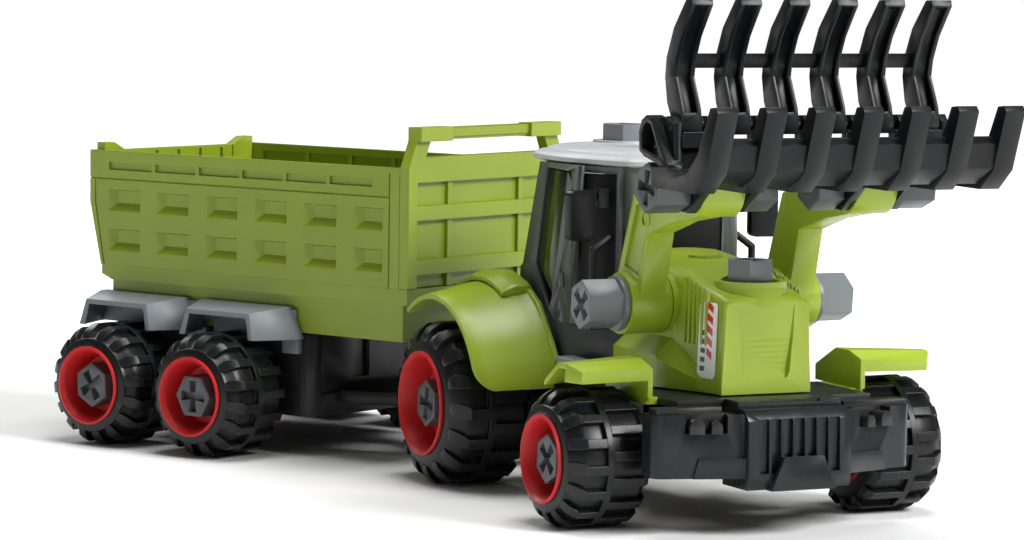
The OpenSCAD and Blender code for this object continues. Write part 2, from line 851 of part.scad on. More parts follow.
// tapered arch, narrower and lower towards the outside; over runs it past the outer edge
module arch(t, top, low, over) {
  hull() {
    translate([-63 - over, -16.4 + t + over * 0.4, top - 2.6 - over * 0.17])
      cube([1, 32.8 - 2 * t - over * 0.8, 0.4]);
    translate([-48, -22.6 + t, top - 0.4])
      cube([3.4, 45.2 - 2 * t, 0.4]);
    translate([-64 - over, -19 + t + over * 0.6, low])
      cube([1, 38 - 2 * t - over * 1.2, 0.4]);
    translate([-48, -28.6 + t, low])
      cube([3.4, 53.6 - 2 * t, 0.4]);
  }
}
module trailer_fender_right() {
  color(GREY)
    in_trailer()
      trailer_fender_shape();
}
module trailer_fender_left() {
  color(GREY)
    in_trailer()
      mirror([1, 0, 0])
        trailer_fender_shape();
}
module tip_pin() {
  color(GREY)
    in_trailer()
      translate([0, tip_axis[0], tip_axis[1]])
        xcyl(2.5, -41, 41);
}
// outline of one row of pockets across the panel, its lower wall sloping outwards
module pocket_row(z0, z1) {
  translate([0, 45, 0])
    rotate([90, 0, 0])
      mirror([0, 0, 1])
        linear_extrude(160)
          polygon([[-tub_half - 1, z0 - 1], [-tub_half + 2.2, z0 + 3.4], [-tub_half + 2.2, z1 - 0.6],
            [-tub_half - 1, z1 + 0.2]]);
}
// outline of one column of pockets, its rear wall sloping outwards
module pocket_column(v0, v1) {
  translate([0, 0, 70])
    linear_extrude(34)
      polygon([[-tub_half - 1, v0], [-tub_half + 2.2, v0], [-tub_half + 2.2, v1 - 4], [-tub_half - 1, v1 + 1]]);
}
module panel_cuts() {
  slots = [[58.2, 79.4], [81.3, 101.7], [103.5, 124.3], [126.2, 147.3], [149.3, 170.8], [172.8, 196.2]];
  cols = [[52.8, 67.6], [75.8, 92.7], [101.2, 118.4], [126.9, 143.9], [152.7, 170.7], [178.9, 197]];
  for (s = slots)
    box([-tub_half - 1, s[0], 107], [-tub_half + 1.1, s[1], 110.1]);
  intersection() {
    union() {
      pocket_row(74.2, 83.3);
      pocket_row(90.1, 99.1);
    }
    union() {
      for (c = cols)
        pocket_column(c[0], c[1]);
    }
  }
  // parting lines around the panel
  box([-tub_half - 1, 49.6, 103.1], [-tub_half + 0.5, 208, 103.7]);
  box([-tub_half - 1, 49.2, 68], [-tub_half + 0.5, 49.8, 112.4]);
  side_plate([[198.2, 68.7], [198.9, 68.7], [203.9, 94], [203.9, 103.2], [203.2, 103.2], [203.2, 94]],
    -tub_half - 1, -tub_half + 0.5);
  // shallow panels between ribs on the inner face
  for (s = slots)
    box([-tub_half + tub_wall - 1, s[0], 70], [-tub_half + tub_wall + 1, s[1], 111.4]);
}
module tub() {
  color(GREEN)
    in_trailer()
      difference() {
        union() {
          // panels above the ledge, rear edge raked in towards the bottom
          side_plate([[front_v + 4.6, 68.6], [200.4, 68.6], [206.6, 94], [206.6, rim_z],
            [front_v + 4.6, rim_z]], -tub_half, tub_half);
          // ledge and skirt
          side_plate([[front_v + 1, 62.6], [195, 62.6], [200.8, 64.8], [200.8, 68.8], [front_v + 1, 68.8]],
            -tub_half + 1, tub_half - 1);
          side_plate([[45.4, 48.2], [197.4, 48.2], [197.4, 64], [45.4, 64]], -skirt_half, skirt_half);
        }
        // load space, open at the top and at the rear
        box([-tub_half + tub_wall, front_v + 7.6, tub_floor_z], [tub_half - tub_wall, 260, 130]);
        box([-tub_half + tub_wall, 198.6, tub_floor_z - 0.6], [tub_half - tub_wall, 260, 70]);
        // hollow underside
        box([-skirt_half + 2.4, 48, 40], [skirt_half - 2.4, 199, 62.6]);
        both_sides()
          panel_cuts();
        translate([0, tip_axis[0], tip_axis[1]])
          xcyl(2.5 + run_fit, -60, 60);
        translate([0, gate_axis[0], gate_axis[1]])
          xcyl(gate_pin_r, -46.6, 46.6);
      }
}
module headboard() {
  color(GREEN)
    in_trailer() {
      difference() {
        box([-tub_half, front_v, 69], [tub_half, front_v + 4.4, 114.5]);
        box([-42.8, front_v - 1, 100.2], [42.8, front_v + 2.4, 109]);
        box([-42.8, front_v - 1, 79.7], [42.8, front_v + 2.4, 94.6]);
        box([-42.8, front_v - 1, 68], [42.8, front_v + 2.4, 73.9]);
      }
      for (u = [-21.9, 21.9])
        box([u - 1.5, front_v + 1, 69], [u + 1.5, front_v + 3, 110]);
      translate([0, front_v + 4.4, 0])
        rotate([90, 0, 0])
          linear_extrude(4.4)
            difference() {
              polygon([[-48, 114.4], [48, 114.4], [41.4, 129.6], [-41.4, 129.6]]);
              polygon([[-38, 118.6], [38, 118.6], [35.2, 125], [-35.2, 125]]);
            }
      // carrying bar with a thicker grip at each end
      box([-43.4, front_v - 0.6, 126], [43.4, front_v + 3.4, 129.4]);
      both_sides()
        box([-43.4, front_v - 2, 124.6], [-24.4, front_v + 4.4, 130]);
    }
}
module gate_pins() {
  color(GREY)
    in_trailer()
      both_sides()
        translate([0, gate_axis[0], gate_axis[1]])
          xcyl(gate_pin_r, 39.4, 46.6);
}
module tailgate() {
  color(GREEN)
    in_trailer()
      difference() {
        union() {
          side_plate([[202.4, 66.6], [206.2, 94], [206.2, 114.2], [202.6, 114.2], [202.6, 94.2], [198.9, 66.6]],
            -44.4, 44.4);
          both_sides()
            translate([0, 206.2, 0])
              rotate([90, 0, 0])
                linear_extrude(4.2)
                  polygon([[-44.4, 104], [-44.4, 117.4], [-38.8, 117.4], [-32.4, 114.2], [-32.4, 104]]);
          box([-40, 201.2, 107.4], [40, 204, 109]);
          for (u = [-26, -13, 0, 13, 26])
            box([u - 0.8, 201.2, 100], [u + 0.8, 204, 113.4]);
        }
        translate([0, gate_axis[0], gate_axis[1]])
          both_sides()
            xcyl(gate_pin_r + run_fit, 39, 50);
      }
}

// ---------- drawing ----------
chassis_frame();
front_bumper();
front_deck();
hood();
hood_stickers();
top_screws();
cab_base();
cab_frame();
cab_glass();
cab_doors();
cab_seat();
cab_roof();
mirror_left();
mirror_right();
handrails();
front_fender_left();
front_fender_right();
rear_fender_left();
rear_fender_right();
side_steps();
hitch_pin();
front_axle_screws();
rear_axle_screws();
tyre_fl();
rim_fl();
tyre_fr();
rim_fr();
tyre_rl();
rim_rl();
tyre_rr();
rim_rr();
arm_left();
arm_right();
pivot_screws();
hinge_screws();
hinge_nuts();
rake();
grapple_pin();
grapple();
trailer_chassis();
drawbar();
trailer_fender_left();
trailer_fender_right();
trailer_axle_screws();
tip_pin();
tub();
headboard();
gate_pins();
tailgate();
tyre_t1l();
rim_t1l();
tyre_t1r();
rim_t1r();
tyre_t2l();
rim_t2l();
tyre_t2r();
rim_t2r();
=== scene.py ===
"""Looks of the take-apart toy tractor and trailer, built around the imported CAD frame."""
import json
import math

import bmesh
import bpy
from mathutils import Matrix, Vector


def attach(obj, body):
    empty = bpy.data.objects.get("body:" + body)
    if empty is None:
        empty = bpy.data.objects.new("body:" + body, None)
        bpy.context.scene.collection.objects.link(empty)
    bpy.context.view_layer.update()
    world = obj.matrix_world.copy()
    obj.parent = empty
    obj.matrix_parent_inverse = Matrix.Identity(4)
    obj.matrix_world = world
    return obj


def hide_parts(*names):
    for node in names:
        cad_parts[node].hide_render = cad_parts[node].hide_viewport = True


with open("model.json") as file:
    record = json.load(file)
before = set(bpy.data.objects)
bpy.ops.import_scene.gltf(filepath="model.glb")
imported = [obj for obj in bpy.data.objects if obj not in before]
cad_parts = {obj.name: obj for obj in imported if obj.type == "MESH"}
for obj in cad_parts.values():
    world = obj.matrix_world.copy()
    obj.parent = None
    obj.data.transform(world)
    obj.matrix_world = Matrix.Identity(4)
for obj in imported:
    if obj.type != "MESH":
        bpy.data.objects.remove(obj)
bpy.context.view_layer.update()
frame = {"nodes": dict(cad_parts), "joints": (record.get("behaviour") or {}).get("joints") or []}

NODES = frame["nodes"]
MM = 0.001

# ---------------------------------------------------------------- frames
# Shapes are drawn in millimetres: x across, y towards the rear, z up from the ground.
# The tractor is drawn about its mid plane, the trailer about its hitch before it is swung.
PIVOT_Y, PIVOT_Z = -52.5, 75.0
HITCH_Y = 62.0
YAW = math.radians(26.4)
lift = next(j for j in frame["joints"] if j["name"] == "loader_lift")
SHIFT = Vector((lift["pos_m"][0] / MM, lift["pos_m"][1] / MM - PIVOT_Y, 0.0))
TRACTOR = Matrix.Scale(MM, 4) @ Matrix.Translation(SHIFT)
TRAILER = TRACTOR @ Matrix.Translation((0, HITCH_Y, 0)) @ Matrix.Rotation(YAW, 4, "Z")


# ---------------------------------------------------------------- materials
MOTTLE_SCALE, SHEEN_SCALE = 38, 90
GRAIN_DEPTH = 0.0004
COAT_ROUGHNESS = 0.25
# Painted highlight: ramp over pointiness that paints the convex edges paler, standing in for light catching
# rounded edges.
EDGE_HIGHLIGHT_STOPS = [(0.53, (0, 0, 0)), (0.62, (1, 1, 1))]
LIME_SCATTER = (0.6, 0.8, 0.1)
SCATTER_DEPTH = 0.002


def node_material(name):
    """A new material with its node tree and its main shader."""
    m = bpy.data.materials.new(name)
    m.use_nodes = True
    tree = m.node_tree
    bsdf = tree.nodes["Principled BSDF"]
    return m, tree, bsdf


def link(tree, a, a_out, b, b_in):
    """Joins an output socket of one node to an input socket of another."""
    tree.links.new(a.outputs[a_out], b.inputs[b_in])


def noise(tree, scale, detail=3.0, rough=0.5):
    """Noise texture over object coordinates."""
    coord = tree.nodes.new("ShaderNodeTexCoord")
    n = tree.nodes.new("ShaderNodeTexNoise")
    n.inputs["Scale"].default_value = scale
    n.inputs["Detail"].default_value = detail
    n.inputs["Roughness"].default_value = rough
    link(tree, coord, "Object", n, "Vector")
    return n


def ramp(tree, source, stops, out="Fac"):
    """Colour ramp through (position, colour) stops, fed by an output of the source."""
    r = tree.nodes.new("ShaderNodeValToRGB")
    while len(r.color_ramp.elements) < len(stops):
        r.color_ramp.elements.new(0.5)
    for stop, (place, colour) in zip(r.color_ramp.elements, stops):
        stop.position = place
        stop.color = (*colour, 1.0)
    link(tree, source, out, r, "Fac")
    return r


def plastic(name, colour, rough=0.38, spread=0.06, tint=0.08, grain=900, bump=0.05, spec=0.5, edge_highlight=0.0,
            subsurface=0.0):
    """Moulded plastic: soft mottling of the colour, uneven sheen, fine mould grain and convex edges made
    paler as a painted highlight.
    """
    m, tree, bsdf = node_material(name)
    broad = noise(tree, MOTTLE_SCALE, 4)
    dark = [c * (1 - tint) for c in colour]
    light = [min(1, c * (1 + tint)) for c in colour]
    body = ramp(tree, broad, [(0.3, dark), (0.7, light)])
    source = (body, "Color")
    # Painted highlight: the convex edges are painted paler, as though lit.
    if edge_highlight:
        geo = tree.nodes.new("ShaderNodeNewGeometry")
        edge = ramp(tree, geo, EDGE_HIGHLIGHT_STOPS, "Pointiness")
        mix = tree.nodes.new("ShaderNodeMixRGB")
        mix.blend_type = "MIX"
        highlight_colour = [min(1, c * 1.35 + 0.03) for c in colour]
        mix.inputs["Color2"].default_value = (*highlight_colour, 1)
        scale = tree.nodes.new("ShaderNodeMath")
        scale.operation = "MULTIPLY"
        scale.inputs[1].default_value = edge_highlight
        link(tree, edge, "Color", scale, 0)
        link(tree, scale, 0, mix, "Fac")
        link(tree, body, "Color", mix, "Color1")
        source = (mix, "Color")
    link(tree, source[0], source[1], bsdf, "Base Color")
    sheen = noise(tree, SHEEN_SCALE, 5, 0.6)
    r = ramp(tree, sheen, [(0.3, (rough - spread,) * 3), (0.7, (rough + spread,) * 3)])
    link(tree, r, "Color", bsdf, "Roughness")
    fine = noise(tree, grain, 2, 0.6)
    b = tree.nodes.new("ShaderNodeBump")
    b.inputs["Strength"].default_value = bump
    b.inputs["Distance"].default_value = GRAIN_DEPTH
    link(tree, fine, "Fac", b, "Height")
    link(tree, b, "Normal", bsdf, "Normal")
    bsdf.inputs["Specular IOR Level"].default_value = spec
    bsdf.inputs["Coat Weight"].default_value = 0.0
    bsdf.inputs["Coat Roughness"].default_value = COAT_ROUGHNESS
    if subsurface:
        bsdf.inputs["Subsurface Weight"].default_value = subsurface
        bsdf.inputs["Subsurface Radius"].default_value = LIME_SCATTER
        bsdf.inputs["Subsurface Scale"].default_value = SCATTER_DEPTH
    return m


def rounded_look(m, radius=0.0006):
    """Softens the look of sharp edges in the shading alone."""
    tree = m.node_tree
    edge = tree.nodes.new("ShaderNodeBevel")
    edge.inputs["Radius"].default_value = radius
    edge.samples = 4
    bump = next(n for n in tree.nodes if n.type == "BUMP")
    link(tree, edge, "Normal", bump, "Normal")
    return m


# The paler-edge amount of each material below sets a painted highlight on its convex edges.
GREEN = plastic("lime_plastic", (0.285, 0.375, 0.021), rough=0.34, tint=0.05, edge_highlight=0.25, subsurface=0.05)
TUB_GREEN = rounded_look(plastic("tub_plastic", (0.235, 0.305, 0.014), rough=0.36, tint=0.05, edge_highlight=0.25,
                                 subsurface=0.05))
BLACK = plastic("black_plastic", (0.0055, 0.006, 0.0068), rough=0.32, tint=0.12, spec=0.2, edge_highlight=0.5)
FRAME_BLACK = plastic("frame_black", (0.008, 0.008, 0.009), rough=0.42, tint=0.12, spec=0.4, edge_highlight=0.4)
DARK = plastic("dark_plastic", (0.014, 0.0155, 0.0175), rough=0.28, spec=0.3, tint=0.08, edge_highlight=0.4)
CAB = plastic("cab_plastic", (0.042, 0.043, 0.047), rough=0.40, tint=0.06, edge_highlight=0.3)
PILLAR = plastic("pillar_plastic", (0.085, 0.087, 0.093), rough=0.36, tint=0.05, edge_highlight=0.3)
SCREW = plastic("screw_plastic", (0.15, 0.165, 0.18), rough=0.34, tint=0.05, edge_highlight=0.35)
HUB_SCREW = plastic("hub_screw_plastic", (0.075, 0.08, 0.086), rough=0.42, tint=0.06, edge_highlight=0.3)
HINGE_SCREW = plastic("hinge_screw_plastic", (0.055, 0.058, 0.062), rough=0.38, tint=0.06, edge_highlight=0.35)
FENDER = plastic("fender_grey_plastic", (0.19, 0.21, 0.23), rough=0.42, tint=0.05, edge_highlight=0.25)
PALE = plastic("roof_plastic", (0.42, 0.425, 0.43), rough=0.38, tint=0.04, edge_highlight=0.2)
RED = plastic("red_plastic", (0.50, 0.012, 0.013), rough=0.44, tint=0.06, edge_highlight=0.3, spec=0.35)
DOOR = plastic("door_black", (0.004, 0.004, 0.0045), rough=0.5, tint=0.15, spec=0.15, edge_highlight=0.3)
TYRE = plastic("tyre_rubber", (0.0052, 0.0056, 0.0064), rough=0.32, spread=0.07, tint=0.2, grain=1600,
               bump=0.12, spec=0.34, edge_highlight=0.6)
WINDOW_FOOT, WINDOW_HEAD = 0.068, 0.120
WINDOW_STOPS = [(0.0, (0.02, 0.024, 0.012)), (0.3, (0.05, 0.07, 0.01)), (0.75, (0.03, 0.042, 0.008)),
                (1.0, (0.009, 0.011, 0.006))]


def window_material():
    """Dark olive panes, a little brighter low down."""
    m, tree, bsdf = node_material("olive_window")
    coord = tree.nodes.new("ShaderNodeTexCoord")
    split = tree.nodes.new("ShaderNodeSeparateXYZ")
    link(tree, coord, "Object", split, "Vector")
    fade = tree.nodes.new("ShaderNodeMapRange")
    fade.inputs["From Min"].default_value = WINDOW_FOOT
    fade.inputs["From Max"].default_value = WINDOW_HEAD
    link(tree, split, "Z", fade, "Value")
    r = ramp(tree, fade, WINDOW_STOPS, "Result")
    n = noise(tree, 60, 3)
    mix = tree.nodes.new("ShaderNodeMixRGB")
    mix.blend_type = "MULTIPLY"
    mix.inputs["Fac"].default_value = 0.3
    link(tree, r, "Color", mix, "Color1")
    link(tree, n, "Fac", mix, "Color2")
    link(tree, mix, "Color", bsdf, "Base Color")
    r2 = ramp(tree, n, [(0.3, (0.12,) * 3), (0.7, (0.2,) * 3)])
    link(tree, r2, "Color", bsdf, "Roughness")
    bsdf.inputs["Specular IOR Level"].default_value = 0.25
    return m


WINDOW = window_material()


# ---------------------------------------------------------------- mesh kit
SEAM = 0.02
ROUNDED_ABOVE, CREASE_ABOVE = 32, 30


def piece(name, bm, body, frame_matrix, material, bevel=0.0, segments=2, angle=35, smooth=40):
    """Turns a bmesh drawn in millimetres into a named object that rides on a body."""
    bmesh.ops.remove_doubles(bm, verts=bm.verts, dist=1e-4)
    bmesh.ops.recalc_face_normals(bm, faces=bm.faces)
    mesh = bpy.data.meshes.new(name)
    bm.to_mesh(mesh)
    bm.free()
    mesh.transform(frame_matrix)
    for face in mesh.polygons:
        face.use_smooth = True
    mesh.set_sharp_from_angle(angle=math.radians(smooth))
    mesh.materials.append(material)
    o = bpy.data.objects.new(name, mesh)
    bpy.context.scene.collection.objects.link(o)
    if bevel:
        soften(o, bevel, segments, angle)
    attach(o, body)
    return o


def soften(o, width, segments=2, angle=35):
    """Rounds the sharp edges of an object; the width is in millimetres."""
    mod = o.modifiers.new("round_edges", "BEVEL")
    mod.width = width * MM
    mod.segments = segments
    mod.limit_method = "ANGLE"
    mod.angle_limit = math.radians(angle)
    mod.use_clamp_overlap = True
    mod.harden_normals = True
    mod.miter_outer = "MITER_ARC"


def box(bm, lo, hi, matrix=None):
    """Block between two corners, turned and moved by the matrix."""
    v = [bm.verts.new((x, y, z)) for z in (lo[2], hi[2]) for y in (lo[1], hi[1]) for x in (lo[0], hi[0])]
    for a in ((0, 2, 3, 1), (4, 5, 7, 6), (0, 1, 5, 4), (2, 6, 7, 3), (0, 4, 6, 2), (1, 3, 7, 5)):
        bm.faces.new([v[i] for i in a])
    if matrix is not None:
        bmesh.ops.transform(bm, matrix=matrix, verts=v)


def close_between(bm, a, b):
    """Makes a solid from two loops of as many points: both ends, then the sides."""
    n = len(a)
    bm.faces.new(a)
    bm.faces.new(list(reversed(b)))
    for i in range(n):
        j = (i + 1) % n
        bm.faces.new([a[i], b[i], b[j], a[j]])


def on_axis(axis, distance, p):
    """A point at a distance along the axis; p holds the other two coordinates in order."""
    if axis == "x":
        return (distance, p[0], p[1])
    if axis == "y":
        return (p[0], distance, p[1])
    return (p[0], p[1], distance)


def prism(bm, points, lo, hi, axis="x"):
    """Outline drawn along one axis: points are (y, z), (x, z) or (x, y)."""
    a = [bm.verts.new(on_axis(axis, lo, p)) for p in points]
    b = [bm.verts.new(on_axis(axis, hi, p)) for p in points]
    close_between(bm, a, b)


def carry(names, material, bevel=0.5, segments=2):
    """Gives CAD nodes their material and rounds their edges without touching their meshes."""
    for name in names:
        o = NODES[name]
        o.data.materials.clear()
        o.data.materials.append(material)
        for face in o.data.polygons:
            face.use_smooth = True
            face.material_index = 0
        weld = o.modifiers.new("join_seams", "WELD")
        weld.merge_threshold = SEAM * MM
        if bevel:
            soften(o, bevel, segments, ROUNDED_ABOVE)
        else:
            crease = o.modifiers.new("keep_creases", "EDGE_SPLIT")
            crease.split_angle = math.radians(CREASE_ABOVE)


# ---------------------------------------------------------------- tyres
def lug(bm, stations, theta, steps=2):
    """One tread block: stations are (x, top radius, foot radius, half angle, turn)."""
    rows = []
    for x, top, foot, half, turn in stations:
        ring = []
        for k in range(steps + 1):
            a = theta + turn + half * (2 * k / steps - 1)
            upper = bm.verts.new((x, top * math.sin(a), top * math.cos(a)))
            lower = bm.verts.new((x, foot * math.sin(a), foot * math.cos(a)))
            ring.append((upper, lower))
        rows.append(ring)
    for r0, r1 in zip(rows, rows[1:]):
        for k in range(steps):
            bm.faces.new([r0[k][0], r0[k + 1][0], r1[k + 1][0], r1[k][0]])
            bm.faces.new([r0[k][1], r1[k][1], r1[k + 1][1], r0[k + 1][1]])
        bm.faces.new([r0[0][0], r1[0][0], r1[0][1], r0[0][1]])
        bm.faces.new([r0[-1][0], r0[-1][1], r1[-1][1], r1[-1][0]])
    for ring in (rows[0], rows[-1]):
        for k in range(steps):
            bm.faces.new([ring[k][0], ring[k][1], ring[k + 1][1], ring[k + 1][0]])


def lathe(bm, profile, steps=144):
    """Turns a closed profile of (x, radius) points about the x axis."""
    turns = [2 * math.pi * k / steps for k in range(steps)]
    rings = [[bm.verts.new((x, r * math.sin(a), r * math.cos(a))) for a in turns] for x, r in profile]
    for a, b in zip(rings, [*rings[1:], rings[0]]):
        for k in range(steps):
            j = (k + 1) % steps
            bm.faces.new([a[k], a[j], b[j], b[k]])


def tyre(name, body, matrix, side, r, w, lip, count=16):
    """Carcass with raised centre band, staggered thin cross bars and chunky shoulder blocks.

    r is the outer radius, w the width and lip the radius of the rim's edge; x runs from the
    inner face outwards and is mirrored for the tyres whose outer face looks the other way."""
    bm = bmesh.new()
    core = r - 2.1
    seat = lip - 1.1
    mid = w * 0.5
    lathe(bm, [(1.4, seat), (1.3, lip + 0.2), (1.5, lip + 1.2), (2.0, lip + 3.0), (3.6, r - 5.0),
               (5.6, r - 3.2), (8.0, core), (mid - 1.5, core), (mid - 1.2, r - 0.05),
               (mid + 1.2, r - 0.05), (mid + 1.5, core), (w - 3.4, core), (w - 1.2, core - 1.6),
               (w - 0.2, core - 3.6), (w - 0.2, seat)])
    pitch = 2 * math.pi / count
    bar = pitch * 0.175
    for i in range(count):
        here = i * pitch
        lug(bm, [(mid - 1.0, r, core - 0.4, bar, 0.0),
                 (8.4, r, core - 0.4, bar, 0.0),
                 (7.4, r - 0.1, core - 0.6, bar, 0.0)], here)
        lug(bm, [(7.8, r - 0.05, core - 0.8, bar, 0.0),
                 (6.6, r - 0.5, core - 1.2, bar * 1.25, pitch * 0.04),
                 (3.9, r - 2.4, r - 5.4, bar * 1.45, pitch * 0.10),
                 (2.3, r - 5.2, r - 7.0, bar * 1.3, pitch * 0.13),
                 (2.1, r - 6.6, r - 7.6, bar * 0.7, pitch * 0.10)], here)
        between = here + pitch / 2
        lug(bm, [(mid + 1.0, r, core - 0.4, bar, 0.0),
                 (w - 2.8, r, core - 0.4, bar, 0.0),
                 (w - 0.5, r - 2.0, core - 2.6, bar * 1.2, 0.0)], between)
    if side > 0:
        bmesh.ops.scale(bm, vec=(-1, 1, 1), verts=bm.verts)
    return piece(name, bm, body, matrix, TYRE, bevel=0.28, segments=2, angle=30)


# outer radius, width, radius of the rim's edge
SMALL_TYRE = (24.0, 32, 15.4)
BIG_TYRE = (30.2, 33, 19.3)
# name, side, centre of the outer face, frame it is drawn in, size, degrees turned about its axle
WHEELS = [("fl", 1, (76, -69, 24), TRACTOR, SMALL_TYRE, 11),
          ("fr", -1, (-76, -69, 24), TRACTOR, SMALL_TYRE, 4),
          ("rl", 1, (71.2, 42.2, 30.2), TRACTOR, BIG_TYRE, 7),
          ("rr", -1, (-71.2, 42.2, 30.2), TRACTOR, BIG_TYRE, 2),
          ("t1l", 1, (80.7, 122.2, 24), TRAILER, SMALL_TYRE, 3),
          ("t1r", -1, (-80.7, 122.2, 24), TRAILER, SMALL_TYRE, 9),
          ("t2l", 1, (80.7, 176.4, 24), TRAILER, SMALL_TYRE, 14),
          ("t2r", -1, (-80.7, 176.4, 24), TRAILER, SMALL_TYRE, 17)]
for key, side, centre, base, size, turned in WHEELS:
    m = base @ Matrix.Translation(centre) @ Matrix.Rotation(math.radians(turned), 4, "X")
    t = tyre("treaded_tyre_" + key, "wheel_" + key, m, side, *size)
    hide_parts("tyre_" + key)

# ---------------------------------------------------------------- carried-over CAD nodes
carry(["rim_" + wheel[0] for wheel in WHEELS], RED, bevel=0)
carry(["front_axle_screws", "rear_axle_screws", "trailer_axle_screws"], HUB_SCREW, bevel=0.35)
carry(["top_screws", "pivot_screws", "hitch_pin", "tip_pin", "gate_pins"], SCREW, 0.35)
carry(["hinge_screws", "hinge_nuts"], HINGE_SCREW, 0.35)
carry(["front_bumper"], DARK, 0.7, 3)
carry(["front_deck", "handrails"], FRAME_BLACK, 0.3)
carry(["cab_doors", "cab_seat"], DOOR, 0.3)
carry(["chassis_frame", "trailer_chassis", "drawbar"], FRAME_BLACK, 0.6)
carry(["rake", "grapple", "grapple_pin"], BLACK, 0.55, 2)
carry(["mirror_left", "mirror_right"], BLACK, 0.8, 3)
carry(["cab_base"], CAB, 0.5)
carry(["cab_frame"], PILLAR, 0.4)
carry(["cab_glass"], WINDOW, 0.15)
carry(["side_steps", "trailer_fender_left", "trailer_fender_right"], FENDER, 0.7, 3)
carry(["arm_left", "arm_right"], GREEN, 0.6, 2)
carry(["front_fender_left", "front_fender_right", "rear_fender_left", "rear_fender_right"], GREEN, 0.4, 2)
carry(["tub", "headboard", "tailgate"], TUB_GREEN, bevel=0)

# ---------------------------------------------------------------- booleans
def solid(bm):
    """A throwaway object holding a bmesh, for booleans."""
    bmesh.ops.remove_doubles(bm, verts=bm.verts, dist=1e-4)
    bmesh.ops.recalc_face_normals(bm, faces=bm.faces)
    mesh = bpy.data.meshes.new("tool")
    bm.to_mesh(mesh)
    bm.free()
    o = bpy.data.objects.new("tool", mesh)
    bpy.context.scene.collection.objects.link(o)
    return o


def combine(base, cuts=(), adds=()):
    """Booleans a bmesh with others, additions first, and returns the result as a new bmesh."""
    o = solid(base)
    tools = []
    for kind, parts in (("UNION", adds), ("DIFFERENCE", cuts)):
        for part in parts:
            tool = solid(part)
            tools.append(tool)
            mod = o.modifiers.new("b", "BOOLEAN")
            mod.operation = kind
            mod.solver = "EXACT"
            mod.object = tool
    bpy.context.view_layer.update()
    got = o.evaluated_get(bpy.context.evaluated_depsgraph_get()).to_mesh()
    bm = bmesh.new()
    bm.from_mesh(got)
    for used in [o, *tools]:
        bpy.data.objects.remove(used)
    bmesh.ops.dissolve_limit(bm, angle_limit=math.radians(0.5), verts=bm.verts, edges=bm.edges)
    return bm


def cone(r, centre, lo, hi, axis="x", steps=64, r2=None):
    """A cylinder, or a cone with radius r2 at its far end, in a bmesh of its own."""
    bm = bmesh.new()
    r2 = r if r2 is None else r2
    rings = []
    for distance, radius in ((lo, r), (hi, r2)):
        ring = []
        for k in range(steps):
            a = 2 * math.pi * k / steps
            p = (centre[0] + radius * math.cos(a), centre[1] + radius * math.sin(a))
            ring.append(bm.verts.new(on_axis(axis, distance, p)))
        rings.append(ring)
    for k in range(steps):
        j = (k + 1) % steps
        bm.faces.new([rings[0][k], rings[0][j], rings[1][j], rings[1][k]])
    bm.faces.new(list(reversed(rings[0])))
    bm.faces.new(rings[1])
    return bm


# ---------------------------------------------------------------- hood
HOOD_FOOT_Z = 46.2
NOSE_Y = -91.4
# y, skirt half width and top, fold half width and height, cheek half width, crown height, shoulder
HOOD_ROWS = [(NOSE_Y, 17.5, 48.6, 17.45, 49.8, 16.2, 78.0, 2.4),
             (-90.6, 17.9, 49.0, 17.8, 50.2, 16.8, 79.2, 3.0),
             (-86.0, 18.1, 50.0, 17.9, 51.2, 17.0, 80.4, 3.6),
             (-78.0, 20.3, 50.6, 18.3, 53.6, 17.5, 82.2, 4.3),
             (-68.0, 24.2, 53.6, 18.9, 58.6, 18.2, 84.8, 5.2),
             (-61.0, 26.8, 56.2, 19.4, 62.0, 18.8, 86.6, 6.0),
             (-60.0, 27.0, 57.2, 20.0, 63.0, 19.4, 87.0, 6.2),
             (-45.0, 27.0, 57.4, 20.4, 63.0, 19.8, 89.6, 7.6),
             (-28.2, 27.0, 57.6, 20.6, 63.0, 20.0, 91.2, 8.6)]
HOOD_SCREW = (0, -78.5)
BOSS_STEPS = 96
PIVOT_BOSS_OUTER, PIVOT_BOSS_INNER = 10.6, 9.6
MOUTH = [(-11.7, 76.6), (-11.0, 66), (-9.6, 53.4), (-8.2, 50.8), (8.2, 50.8), (9.6, 53.4), (11.0, 66),
         (11.7, 76.6)]
MOUTH_DEPTH = {76.6: 0.2, 66: 1.0, 53.4: 1.9, 50.8: 1.2}
SLATS, SLAT_PITCH = 7, 2.0
SLOTS, FIRST_SLOT_Y = 5, -80.2
BARS, FIRST_BAR_Y = 6, -81.65
LOUVRE_PITCH, LOUVRE_RISE = 2.9, 0.8


def section(y, skirt, skirt_z, fold, fold_z, cheek, top, radius):
    """Cross-section of the hood: skirt, fold, cheek, rounded shoulder and crowned top."""
    half = [(skirt, HOOD_FOOT_Z), (skirt, skirt_z), (fold, fold_z),
            (cheek + (fold - cheek) * 0.4, (fold_z + top - radius) / 2), (cheek, top - radius)]
    for k in range(1, 6):
        a = math.radians(90 * k / 6)
        half.append((cheek - radius + radius * math.cos(a), top - radius + radius * math.sin(a)))
    half.append((cheek - radius, top))
    half.append(((cheek - radius) * 0.5, top + 0.5))
    right_half = [(x, y, z) for x, z in half]
    left_half = [(-x, y, z) for x, z in reversed(half)]
    return right_half + [(0, y, top + 0.7)] + left_half


def hood_block():
    """The hood before its bosses, recess and slots."""
    bm = bmesh.new()
    rings = [[bm.verts.new(p) for p in section(*row)] for row in HOOD_ROWS]
    for a, b in zip(rings, rings[1:]):
        for k in range(len(a) - 1):
            bm.faces.new([a[k], b[k], b[k + 1], a[k + 1]])
        bm.faces.new([a[-1], b[-1], b[0], a[0]])
    bm.faces.new(list(reversed(rings[0])))
    bm.faces.new(rings[-1])
    return bm


